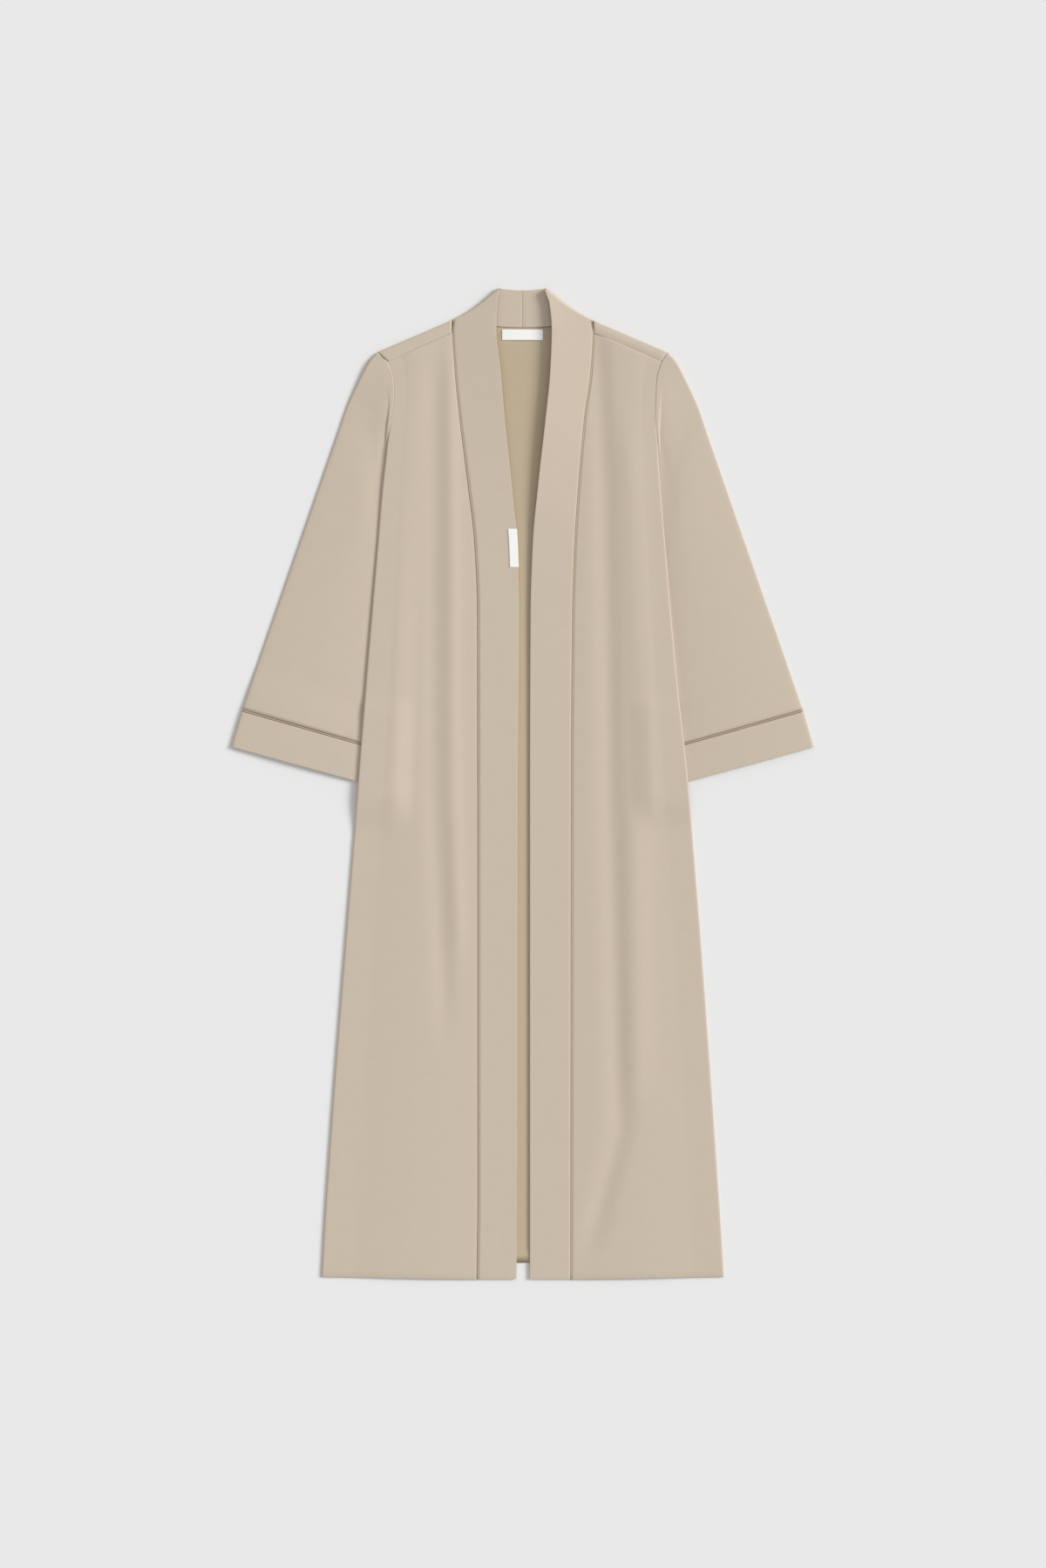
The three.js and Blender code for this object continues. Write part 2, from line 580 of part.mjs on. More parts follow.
// The label lies on the wearer's right band and reaches just past its free edge.
function bandLabel() {
  const [side] = SIDES;
  const rows = [BAND_LABEL.top, BAND_LABEL.bottom].map((y) => {
    const line = frontBandLine(side, y);
    const edge = Math.hypot(line.free.x - line.sewn.x, line.free.y - line.sewn.y);
    const points = spread(line, edge - BAND_LABEL.onBand, edge + BAND_LABEL.pastEdge, 1);
    points.forEach((point) => point.setZ(point.z + DOUBLED / 2 + OVER));
    return points;
  });
  return new Sheet().addGrid(rows).thicken(LABEL_THICKNESS);
}

// ---- The cloak --------------------------------------------------------------------------------

const cloak = new THREE.Group();

function add(name, geometry, color) {
  const material = new THREE.MeshStandardMaterial({ color, roughness: 0.9, metalness: 0 });
  const mesh = new THREE.Mesh(geometry, material);
  mesh.name = name;
  cloak.add(mesh);
}

add('back_panel', back(), CLOTH_COLOUR);
for (const side of SIDES) {
  add(`front_${side.name}`, front(side), CLOTH_COLOUR);
  add(`sleeve_${side.name}`, sleeve(side), CLOTH_COLOUR);
  add(`cuff_${side.name}`, cuff(side), CLOTH_COLOUR);
  add(`band_${side.name}`, band(side), CLOTH_COLOUR);
  add(`piping_band_${side.name}`, bandPiping(side), TRIM_COLOUR);
  add(`piping_cuff_${side.name}`, cuffPiping(side), TRIM_COLOUR);
}
add('neck_label', neckLabel(), LABEL_COLOUR);
add('band_label', bandLabel(), LABEL_COLOUR);

export default cloak;
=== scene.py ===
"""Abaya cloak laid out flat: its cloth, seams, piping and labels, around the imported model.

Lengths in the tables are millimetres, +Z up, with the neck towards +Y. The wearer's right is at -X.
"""
import math

import bmesh
import bpy
import numpy as np
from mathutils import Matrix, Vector


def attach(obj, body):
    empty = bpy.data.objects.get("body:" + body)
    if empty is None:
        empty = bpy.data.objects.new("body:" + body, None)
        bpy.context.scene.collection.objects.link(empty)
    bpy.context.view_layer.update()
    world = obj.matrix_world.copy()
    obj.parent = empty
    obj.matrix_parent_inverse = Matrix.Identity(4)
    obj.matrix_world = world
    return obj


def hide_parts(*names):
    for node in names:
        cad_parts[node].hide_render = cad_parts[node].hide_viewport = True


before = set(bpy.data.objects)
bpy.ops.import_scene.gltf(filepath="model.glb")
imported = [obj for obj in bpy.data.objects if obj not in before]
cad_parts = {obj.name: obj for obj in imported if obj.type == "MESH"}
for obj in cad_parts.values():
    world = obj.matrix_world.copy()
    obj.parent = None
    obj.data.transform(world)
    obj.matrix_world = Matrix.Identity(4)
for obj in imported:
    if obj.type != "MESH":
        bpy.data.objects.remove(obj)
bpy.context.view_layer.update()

MM = 0.001

# ---- Sizes of the cloak ------------------------------------------------------------------------

CLOTH = 1.1
DOUBLED = 2.2
PIPING = 3.0
SEAM_GAP = 0.3
LABEL = 0.6

HALF_LENGTH = 710
SIDE_HEM = -706
BACK_HEM = -686
NECK_SEAM = 654
NECK_DIP = 3
BAND_FOLD = (99.8, 665)
NECK_CORNER = (35.6, HALF_LENGTH)
BAND_FOLD_SAG = 4
SHOULDER_TIP = (208, 618)
SHOULDER_SEAM_NECK = 646
SHOULDER_SEAM_TIP = 604
UNDERARM = (190.6, 392)
SIDE_TURN = 9
SEWN_EDGE = PIPING / 2 + SEAM_GAP
CUFF_SEAM = ((402.5, 105), (201.3, 48))
CUFF_EDGE = ((418, 52), (203, -8))
HEM_RADIUS = 0.7
SIDE_RADIUS = 1.3
MOST_OVERLAP = 27  # how far the body lies over the sleeve
FRONT_RISE = (50, 14)  # the front climbs the sleeve, from its hidden edge inward
BACK_RISE = (36, 6)
FRONT_BULGE = 1.6
BULGE_SHARE = 0.8  # share of a front's width over which it swells
CROSSING = (455, 495)  # heights between which the sewn armhole becomes a side fold
SEWN_SHARE = 0.12  # how much of the turned strip is left where the edge is sewn
SEAM_SLANT_START = 300
HEM_SLANT_TOP = -500
SEAM_LEVEL = (3, 1.8, 100, 560)  # low, rise, and the heights it rises between
BAND_LEAN_START = 470
BAND_LEAN_POWER = 1.2
BACK_TOP = 612
BACK_COLUMNS = 81
BACK_HEM_BLEND = 120
ARMHOLE_CROSSING = 486
SLEEVE_FALL = 430
SLEEVE_BULGE = 2.4
CUFF_BULGE = 1.6
SWELL_SHARE = 0.82
SWELL_POWER = 0.7
CUFF_DEPTH = 55
CUFF_END = 54.5
CUFF_ROWS = 24
SLEEVE_TOP = 2.6
CUFF_TOP = 4.0


def table(names, *rows):
    """Columns of numbers by name, with the heights running upwards."""
    columns = np.array(rows, float)[::-1].T
    return dict(zip(names.split(), columns))


BAND_ROWS = table(
    "y seam_r seam_l edge_r edge_l lift_r lift_l",
    (710, 99.8, 101.8, 35.6, 35.6, 7.5, 11),
    (650, 99.6, 101.5, 37.5, 41.8, 8, 13),
    (590, 96.2, 98.2, 31.3, 39.6, 7.6, 13),
    (524, 89.4, 89.3, 25.6, 33.1, 6.6, 12.5),
    (424, 76.6, 80.6, 14.9, 21.9, 5, 9.5),
    (341, 67.3, 75.3, 7.5, 14.4, 4, 5.8),
    (245, 63.5, 72.3, 5, 11.5, 3.3, 4.4),
    (0, 63.3, 70.5, 7, 10.6, 3, 3.2),
    (-600, 63.1, 69.8, 7.8, 10.6, 3, 3),
    (-710, 64.3, 69.6, 8.9, 10.6, 3, 3),
)
SIDE_ROWS = table(
    "y side_r side_l",
    (604, 192.8, 198.6),
    (582, 185.2, 192.4),
    (560, 184, 190.8),
    (522, 188.1, 190.1),
    (477, 194.4, 193.6),
    (424, 200.8, 197.6),
    (341, 207.8, 204.6),
    (245, 216, 212.6),
    (149, 224, 221.5),
    (0, 235.8, 237.4),
    (-601, 282.1, 282.4),
    (-706, 288.1, 288.9),
)
SIDE_LEVELS = table(
    "y front back_rise",
    (604, 5.9, 0),
    (486, 6.5, 0),
    (441, 6.5, 3.5),
    (130, 6.5, 3.5),
    (100, 8.6, 5.6),
    (-14, 8.6, 5.6),
    (-75, 3, 0),
    (-706, 3, 0),
)
SLEEVE_ROWS = table(
    "y outer",
    (618, 208),
    (608, 218),
    (595, 226),
    (578, 234.4),
    (544, 250),
    (500, 265.3),
    (105, 402.5),
)

# ---- Small maths -------------------------------------------------------------------------------


def blend(value, low, high):
    """0 at low, 1 at high, and smooth between."""
    t = np.clip((np.asarray(value, float) - low) / (high - low), 0, 1)
    return t * t * (3 - 2 * t)


def lerp(a, b, t):
    return a + (b - a) * t


def curve(rows, key):
    """A smooth curve through one column of a table, by height, that never overshoots."""
    y, values = rows["y"], rows[key]
    slopes = np.diff(values) / np.diff(y)
    inner = np.zeros(len(slopes) - 1)
    same = slopes[:-1] * slopes[1:] > 0
    inner[same] = 2 * slopes[:-1][same] * slopes[1:][same] / (slopes[:-1] + slopes[1:])[same]
    tangents = np.concatenate([slopes[:1], inner, slopes[-1:]])

    def at(height):
        height = np.clip(np.asarray(height, float), y[0], y[-1])
        i = np.clip(np.searchsorted(y, height) - 1, 0, len(slopes) - 1)
        span = y[i + 1] - y[i]
        t = (height - y[i]) / span
        return ((2 * t**3 - 3 * t**2 + 1) * values[i] + (t**3 - 2 * t**2 + t) * span * tangents[i]
                + (3 * t**2 - 2 * t**3) * values[i + 1] + (t**3 - t**2) * span * tangents[i + 1])

    return at


def turn(distance, radius, angle):
    """How far cloth goes out and down once it has gone this distance round an edge."""
    theta = np.minimum(distance / radius, angle)
    rest = np.maximum(distance - radius * angle, 0)
    out = radius * np.sin(theta) + rest * np.cos(angle)
    down = radius * (1 - np.cos(theta)) + rest * np.sin(angle)
    return out, down


front_level = curve(SIDE_LEVELS, "front")
back_rise = curve(SIDE_LEVELS, "back_rise")
sleeve_outer = curve(SLEEVE_ROWS, "outer")


class Side:
    """One side of the cloak: which way it lies from the centre line, and its own curves."""

    def __init__(self, name, sign, end):
        self.name = name
        self.sign = sign
        self.seam = curve(BAND_ROWS, "seam_" + end)
        self.edge = curve(BAND_ROWS, "edge_" + end)
        self.lift = curve(BAND_ROWS, "lift_" + end)
        self.limit = curve(SIDE_ROWS, "side_" + end)


RIGHT = Side("right", -1, "r")
LEFT = Side("left", 1, "l")
SIDES = (RIGHT, LEFT)

# ---- Making cloth ------------------------------------------------------------------------------


def runs(before, middle, after):
    """Places across a sheet: how far past its first edge, how far along it, how far past its last."""
    before, middle, after = (np.asarray(part, float) for part in (before, middle, after))
    rows = [(b, middle[0], 0) for b in before[::-1]]
    rows += [(0, m, 0) for m in middle]
    rows += [(0, middle[-1], a) for a in after]
    return np.array(rows)


def new_object(name, mesh):
    piece = bpy.data.objects.new(name, mesh)
    bpy.context.collection.objects.link(piece)
    return piece


def smooth(mesh):
    for polygon in mesh.polygons:
        polygon.use_smooth = True


def grid_mesh(name, columns, rows, place, closed=False):
    """A grid whose points are moved by place(column, row), which gives x, y, z in millimetres."""
    bm = bmesh.new()
    uv = bm.loops.layers.uv.new("cloth")
    across, along = len(columns) - 1, len(rows) - 1
    bmesh.ops.create_grid(bm, x_segments=across, y_segments=along, size=0.5, calc_uvs=True)
    mesh = bpy.data.meshes.new(name)
    count = len(bm.verts)
    grid = np.array([vert.co[:2] for vert in bm.verts])
    i = np.rint((grid[:, 0] + 0.5) * across).astype(int)
    j = np.rint((grid[:, 1] + 0.5) * along).astype(int)
    points = np.stack([np.broadcast_to(part, count) for part in place(columns[i], rows[j])], 1) * MM
    for vert, point in zip(bm.verts, points):
        vert.co = point
    if closed:
        bmesh.ops.remove_doubles(bm, verts=bm.verts, dist=1e-6)
    bm.to_mesh(mesh)
    bm.free()
    return mesh


def cloth(name, columns, rows, place, thickness, closed=False, round_edges=0.0):
    mesh = grid_mesh(name, columns, rows, place, closed)
    smooth(mesh)
    piece = new_object(name, mesh)
    solidify = piece.modifiers.new("thickness", "SOLIDIFY")
    solidify.thickness = thickness * MM
    solidify.offset = 0
    solidify.use_even_offset = False
    if round_edges:
        bevel = piece.modifiers.new("edges", "BEVEL")
        bevel.width = round_edges * MM
        bevel.segments = 3
        bevel.limit_method = "ANGLE"
        bevel.angle_limit = math.radians(50)
    return piece


def finish_sheet(piece, node):
    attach(piece, "root")
    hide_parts(node)


def sewn_tuck(length=1.5, steps=4):
    return np.linspace(0, length, steps + 1)[1:]


TUCK_RADIUS = 0.8
QUARTER = math.pi / 2

# ---- Bands -------------------------------------------------------------------------------------


def seam_height(y):
    return (y + (SHOULDER_SEAM_NECK - SHOULDER_SEAM_TIP) * blend(y, SEAM_SLANT_START, SHOULDER_SEAM_TIP)
            - (HALF_LENGTH + SIDE_HEM) * (1 - blend(y, SIDE_HEM, HEM_SLANT_TOP)))


def seam_level(y):
    low, rise, start, end = SEAM_LEVEL
    return low + rise * blend(y, start, end)


def band_lines(side, heights):
    """Ends of the lines across a front band: the middle of the piping, and the free edge."""
    up = blend(heights, BAND_LEAN_START, BAND_FOLD[1]) ** BAND_LEAN_POWER
    free_y = heights + (HALF_LENGTH - BAND_FOLD[1]) * up
    sewn = np.stack([side.seam(heights), heights, seam_level(heights)], 1)
    free = np.stack([side.edge(free_y), free_y, side.lift(free_y)], 1)
    return sewn, free, BAND_FOLD_SAG * up**3


def fold_lines(side, angles, thickness):
    """Lines across the band where it folds over at the shoulder, from its upper layer to its lower."""
    ends = []
    run = np.array([NECK_CORNER[0] - BAND_FOLD[0], NECK_CORNER[1] - BAND_FOLD[1]], float)
    run /= np.hypot(*run)
    inward = np.array([-abs(run[1]), -abs(run[0])])
    for (x, y), upper in ((BAND_FOLD, seam_level(BAND_FOLD[1])), (NECK_CORNER, side.lift(HALF_LENGTH))):
        lower = DOUBLED / 2
        radius = (upper - lower) / 2
        inset = thickness / 2 + radius * (1 - np.cos(angles))
        ends.append(np.stack([
            x + inward[0] * inset,
            y + inward[1] * inset,
            lower + radius * (1 + np.sin(angles)),
        ], 1))
    return ends[0], ends[1], np.full(len(angles), float(BAND_FOLD_SAG))


def neck_lines(parts):
    left = 1 - parts
    dip = np.sin(parts * QUARTER) * NECK_DIP
    base = NECK_SEAM - SEWN_EDGE
    level = np.full(len(parts), DOUBLED / 2)
    sewn = np.stack([
        lerp(SEAM_GAP / 2, BAND_FOLD[0], left), base + (BAND_FOLD[1] - base) * left**2, level], 1)
    free = np.stack([lerp(SEAM_GAP / 2, NECK_CORNER[0], left), HALF_LENGTH - dip, level], 1)
    return sewn, free, np.zeros(len(parts))


def joined(*groups):
    return [np.concatenate(parts) for parts in zip(*groups)]


FOLD_ANGLES = np.linspace(QUARTER, -QUARTER, 17)


def on_band(side, sewn, free, sag, distance):
    """Points at a distance from the middle of the piping, on lines across the band."""
    reach = np.hypot(free[:, 0] - sewn[:, 0], free[:, 1] - sewn[:, 1])
    along = distance / reach
    point = sewn + (free - sewn) * along[:, None]
    x, y, z = point.T
    y = y - sag * np.sin(math.pi * np.clip(along, 0, 1))
    return side.sign * x, y, z


def band_rows(side, around):
    heights = seam_height(np.concatenate([
        np.linspace(SIDE_HEM, 300, 140),
        np.linspace(300, SHOULDER_SEAM_TIP, 60)[1:],
    ]))
    groups = [band_lines(side, heights), fold_lines(side, FOLD_ANGLES, DOUBLED)]
    if around:
        groups.append(neck_lines(np.linspace(0, 1, 15)[1:]))
    return joined(*groups)


def band(side):
    sewn, free, sag = band_rows(side, True)
    reach = np.hypot(free[:, 0] - sewn[:, 0], free[:, 1] - sewn[:, 1])
    columns = runs(sewn_tuck(), np.linspace(0, 1, 25), [])
    rows = np.arange(len(sewn))

    def place(column, row):
        before, middle, _ = column.T
        out, down = turn(before, TUCK_RADIUS, QUARTER)
        start = SEWN_EDGE + TUCK_RADIUS
        distance = lerp(start, reach[row], middle) - out
        x, y, z = on_band(side, sewn[row], free[row], sag[row], distance)
        return x, y, np.maximum(z - down, DOUBLED / 2 + 0.05)

    node = "band_" + side.name
    piece = cloth(node + "_cloth", columns, rows, place, DOUBLED, round_edges=0.9)
    finish_sheet(piece, node)
    return piece


def band_piping(side):
    sewn, free, sag = band_rows(side, False)
    keep = len(sewn) - len(FOLD_ANGLES) // 2
    sewn, free, sag = sewn[:keep], free[:keep], sag[:keep]
    columns = np.linspace(0, 2 * math.pi, 13)
    rows = np.arange(keep)

    def place(angle, row):
        distance = -np.cos(angle) * PIPING / 2
        x, y, z = on_band(side, sewn[row], free[row], sag[row], distance)
        return x, y, z - 0.2 + np.sin(angle) * PIPING * 0.42

    node = "piping_band_" + side.name
    piece = rope(node + "_cord", columns, rows, place)
    finish_trim(piece, node)
    return piece


def rope(name, columns, rows, place):
    """A closed cord: a grid rolled up, with its ends filled."""
    mesh = grid_mesh(name, columns, rows, place, closed=True)
    bm = bmesh.new()
    bm.from_mesh(mesh)
    bmesh.ops.holes_fill(bm, edges=[edge for edge in bm.edges if edge.is_boundary])
    bmesh.ops.recalc_face_normals(bm, faces=bm.faces)
    bm.to_mesh(mesh)
    bm.free()
    smooth(mesh)
    return new_object(name, mesh)


def finish_trim(piece, node):
    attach(piece, "root")
    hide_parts(node)

# ---- Fronts ------------------------------------------------------------------------------------


def sleeve_inner(y):
    above = lerp(CUFF_SEAM[1][0], UNDERARM[0], (y - CUFF_SEAM[1][1]) / (UNDERARM[1] - CUFF_SEAM[1][1]))
    past_seam = (CUFF_SEAM[1][1] - y) / (CUFF_SEAM[1][1] - CUFF_EDGE[1][1])
    below = lerp(CUFF_SEAM[1][0], CUFF_EDGE[1][0], past_seam)
    return np.where(y > CUFF_SEAM[1][1], above, below)


def side_turned(y):
    """0 where the front is sewn to the sleeve, 1 where its side is a fold."""
    return 1 - blend(y, *CROSSING)


def covered(side, y):
    """The sleeve's hidden edge, as far as the body lies over it."""
    edge = side.limit(y) - SIDE_TURN * side_turned(y)
    return edge - np.clip(edge - sleeve_inner(y), 0, MOST_OVERLAP)


def front(side):
    main = np.linspace(0, 1, 71)
    columns = runs(sewn_tuck(), main, np.concatenate([np.linspace(0, 6.3, 11)[1:], [9, 13]]))
    heights = np.concatenate([
        np.linspace(SHOULDER_SEAM_TIP, 380, 60), np.linspace(380, -120, 90)[1:],
        np.linspace(-120, SIDE_HEM, 60)[1:]])
    rows = runs(sewn_tuck(1.2, 3), heights, np.concatenate([np.linspace(0, 2.6, 6)[1:], [5, 7.5]]))

    def place(column, row):
        y_side = row[:, 1]
        seam_y = seam_height(y_side)
        sewn, free, sag = band_lines(side, seam_y)
        sx, sy, sz = on_band(side, sewn, free, sag, -(SEWN_EDGE + TUCK_RADIUS) * np.ones(len(y_side)))
        sx = np.abs(sx)
        turned = side_turned(y_side)
        radius = lerp(TUCK_RADIUS, SIDE_RADIUS, turned)
        angle = lerp(QUARTER, math.pi, turned)
        limit = side.limit(y_side)
        end = limit - CLOTH / 2 * turned - radius
        out, down = turn(column[:, 2] * lerp(SEWN_SHARE, 1, turned), radius, angle)
        out_sewn, down_sewn = turn(column[:, 0], TUCK_RADIUS, QUARTER)
        part = column[:, 1]
        x = lerp(sx, end, part)
        y = lerp(sy, y_side, part)
        z = front_height(side, x, y_side, part)
        x = x + out - out_sewn
        z = z - down - down_sewn
        top_out, top_down = turn(row[:, 0], TUCK_RADIUS, QUARTER)
        hem_out, hem_down = turn(row[:, 2], HEM_RADIUS, math.pi)
        y = y + top_out - hem_out
        z = np.maximum(z - top_down - hem_down, CLOTH / 2)
        return side.sign * x, y, z

    node = "front_" + side.name
    piece = cloth(node + "_cloth", columns, rows, place, CLOTH)
    finish_sheet(piece, node)
    return piece


def front_height(side, x, y, part):
    """Height of the middle of a front's cloth, at a distance from the centre line."""
    start, limit = seam_level(seam_height(y)), side.limit(y)
    hidden = covered(side, y)
    bulge = FRONT_BULGE * np.sin(math.pi * np.clip(part / BULGE_SHARE, 0, 1))
    z = lerp(start, front_level(y), blend(x, hidden - FRONT_RISE[0], hidden - FRONT_RISE[1])) + bulge
    return z + front_folds(side, x, y)


def front_folds(side, x, y):
    total = 0
    for fold in FOLDS[side.name]:
        rows = fold["path"]
        centre = np.interp(y, rows["y"], rows["x"])
        fade = blend(y, rows["y"][0], rows["y"][0] + fold["ease"]) * (
            1 - blend(y, rows["y"][-1] - fold["ease"], rows["y"][-1]))
        total = total + fold["height"] * fade * np.exp(-(((x - centre) / fold["width"]) ** 2))
    return total


def fold(height, width, ease, *path):
    return {"height": height, "width": width, "ease": ease, "path": table("y x", *path)}


FOLDS = {
    "right": [
        fold(1.7, 12, 120, (640, 104), (400, 101), (0, 100), (-300, 90)),
        fold(-1.6, 14, 120, (640, 128), (400, 127), (0, 128), (-400, 108)),
    ],
    "left": [
        fold(-2.4, 16, 100, (660, 104), (560, 110), (420, 118), (0, 126), (-500, 140), (-700, 86)),
        fold(2.0, 20, 120, (560, 150), (0, 160), (-500, 165)),
    ],
}

# ---- Back --------------------------------------------------------------------------------------


def back():
    heights = np.concatenate([
        np.linspace(UNDERARM[1], SIDE_HEM, 100)[::-1],
        np.linspace(UNDERARM[1], BACK_TOP, 30)[1:],
    ])
    columns = runs([], np.linspace(-1, 1, BACK_COLUMNS), [])
    rows = runs([5, 3, 2.2, 1.6, 1.1, 0.6], heights, [])

    def place(column, row):
        across, y = column[:, 1], row[:, 1]
        away = np.abs(across)
        is_right = across < 0
        edge = np.where(is_right, RIGHT.limit(y), LEFT.limit(y)) - SIDE_TURN * side_turned(y)
        widened = lerp(edge, SHOULDER_TIP[0] - 3, blend(y, SHOULDER_SEAM_TIP, BACK_TOP))
        edge = np.where(y > SHOULDER_SEAM_TIP, widened, edge)
        inner = edge - np.clip(edge - sleeve_inner(y), 0, MOST_OVERLAP)
        x = edge * away
        hem = (BACK_HEM - SIDE_HEM) * (1 - blend(y, SIDE_HEM, SIDE_HEM + BACK_HEM_BLEND)) * (1 - away**2)
        top = neck_line_y(x) - BACK_TOP
        up = top * blend(y, UNDERARM[1], BACK_TOP) + hem
        z = CLOTH / 2 + back_rise(y) * blend(x, inner - BACK_RISE[0], inner - BACK_RISE[1])
        out, down = turn(row[:, 0], HEM_RADIUS, math.pi)
        return np.sign(across) * x, y + up - out, z + 1.4 * (1 - blend(y, SIDE_HEM, SIDE_HEM + 30)) - down

    piece = cloth("back_cloth", columns, rows, place, CLOTH)
    finish_sheet(piece, "back_panel")
    return piece


def neck_line_y(x):
    """The top of the back's lower layer: the neck seam, and then the shoulder."""
    neck = NECK_SEAM - 0.3 + 11 * np.clip(x / BAND_FOLD[0], 0, 1) ** 2
    part = (x - BAND_FOLD[0]) / (SHOULDER_TIP[0] - BAND_FOLD[0])
    shoulder = lerp(BAND_FOLD[1] - 4, SHOULDER_TIP[1] - 4, part)
    return np.where(x < BAND_FOLD[0], neck, shoulder)


def shoulder(side):
    """The part of the back that wraps forward over the shoulder to the forward shoulder seam."""
    columns = runs([], np.linspace(0, 1, 30), [])
    arc = np.linspace(0, 1, 14)
    rows = runs(sewn_tuck(1.2, 3), np.concatenate([np.linspace(0, 0.98, 8), 1 + arc, [2.3, 2.6, 3]]), [])

    def place(column, row):
        part, stage = column[:, 1], row[:, 1]
        neck = np.array(BAND_FOLD) + SEWN_EDGE * np.array([0.819, -0.574])
        tip = np.array(SHOULDER_TIP)
        ox, oy = lerp(neck[0], tip[0], part), lerp(neck[1], tip[1], part)
        seam_x = lerp(101.3, side.limit(SHOULDER_SEAM_TIP), part)
        seam_y = lerp(SHOULDER_SEAM_NECK, SHOULDER_SEAM_TIP, part) + 0.4
        upper = lerp(seam_level(SHOULDER_SEAM_NECK), front_level(SHOULDER_SEAM_TIP), part)
        lower = CLOTH / 2
        radius = (upper - lower) / 2
        length = np.hypot(seam_x - ox, seam_y - oy)
        ix, iy = (seam_x - ox) / length, (seam_y - oy) / length
        angle = lerp(QUARTER, -QUARTER, np.clip(stage - 1, 0, 1))
        arc_inset = CLOTH / 2 + radius * (1 - np.cos(angle))
        top_inset = CLOTH / 2 + radius
        inset = np.where(stage < 1, lerp(length - TUCK_RADIUS, top_inset, np.clip(stage, 0, 1)), arc_inset)
        inset = inset + np.clip(stage - 2, 0, 1) * 12
        out, down = turn(row[:, 0], TUCK_RADIUS, QUARTER)
        inset = inset + out
        crown = 0.8 * np.sin(math.pi * np.clip(stage, 0, 1)) * (stage < 1)
        z = lower + radius * (1 + np.sin(angle)) - down + crown
        return side.sign * (ox + ix * inset), oy + iy * inset, z

    piece = cloth("back_shoulder_" + side.name, columns, rows, place, CLOTH)
    finish_sheet(piece, "back_panel")
    return piece

# ---- Sleeves -----------------------------------------------------------------------------------


def armhole_points(count):
    """The armhole from the shoulder tip to the underarm, spaced evenly, for each side."""
    result = {}
    for side in SIDES:
        y = np.concatenate([
            [SHOULDER_TIP[1]],
            np.linspace(SHOULDER_SEAM_TIP, ARMHOLE_CROSSING, 60),
            np.linspace(ARMHOLE_CROSSING, UNDERARM[1], 20)[1:],
        ])
        hidden = np.clip((ARMHOLE_CROSSING - y) / (ARMHOLE_CROSSING - UNDERARM[1]), 0, 1)
        x = np.where(hidden > 0, lerp(side.limit(ARMHOLE_CROSSING), UNDERARM[0], hidden), side.limit(y))
        x[0] = SHOULDER_TIP[0]
        steps = np.hypot(np.diff(x), np.diff(y))
        run = np.concatenate([[0], np.cumsum(steps)])
        even = np.linspace(0, run[-1], count)
        result[side.name] = np.interp(even, run, x), np.interp(even, run, y)
    return result


ACROSS = 61
ARMHOLE = armhole_points(ACROSS)


def cuff_ends(offset):
    ends = []
    for seam, edge in zip(CUFF_SEAM, CUFF_EDGE):
        run = np.array(edge, float) - np.array(seam, float)
        ends.append(np.array(seam, float) + run / np.hypot(*run) * offset)
    return ends


def sleeve_plan(side, k, v):
    """Plan of the sleeve: k is the place across, from the top fold to the underarm."""
    ax, ay = ARMHOLE[side.name]
    u = k / (ACROSS - 1)
    (ox1, oy1), (ix1, iy1) = cuff_ends(-SEWN_EDGE)
    tip, under = (ax[0], ay[0]), (ax[-1], ay[-1])
    oy = lerp(tip[1], oy1, v)
    ox = np.where(v >= 1, ox1, sleeve_outer(oy))
    ix, iy = lerp(under[0], ix1, v), lerp(under[1], iy1, v)
    x = (lerp(np.interp(k, np.arange(ACROSS), ax), lerp(ox1, ix1, u), v) + lerp(ox, ix, u)
         - lerp(lerp(tip[0], under[0], u), lerp(ox1, ix1, u), v))
    y = (lerp(np.interp(k, np.arange(ACROSS), ay), lerp(oy1, iy1, u), v) + lerp(oy, iy, u)
         - lerp(lerp(tip[1], under[1], u), lerp(oy1, iy1, u), v))
    return x, y


def swell(u):
    """How a tube of cloth swells across its top, from its outer fold."""
    return np.sin(math.pi * np.clip(u / SWELL_SHARE, 0, 1)) ** SWELL_POWER


def sleeve_tops(side, k, v):
    ay = np.interp(k, np.arange(ACROSS), ARMHOLE[side.name][1])
    u = k / (ACROSS - 1)
    away = v * SLEEVE_FALL
    pleat = blend(-ay, -590, -480)
    held = lerp(1 - blend(away, 0, 75), 1 - blend(away, 6, 10), pleat)
    level = lerp(SLEEVE_TOP, front_level(ay), blend(ay, 470, 525))
    bulge = SLEEVE_BULGE * blend(v, 0.05, 0.3) * swell(u)
    return SLEEVE_TOP + (level - SLEEVE_TOP) * held + bulge + (CUFF_TOP - SLEEVE_TOP) * blend(v, 0.86, 0.97)


def tube_columns():
    """Places round a flattened tube: over the top, round the inner fold, below, round the outer."""
    arc = np.linspace(QUARTER, -QUARTER, 9)
    top = [(k, 1, 0, 0) for k in range(1, ACROSS - 1)]
    inner = [(ACROSS - 1, 2, angle, 0) for angle in arc]
    below = [(k, 3, 0, 0) for k in range(ACROSS - 2, 0, -1)]
    outer = [(0, 4, angle, 0) for angle in arc[::-1]]
    return np.array(top + inner + below + outer + top[:1], float)


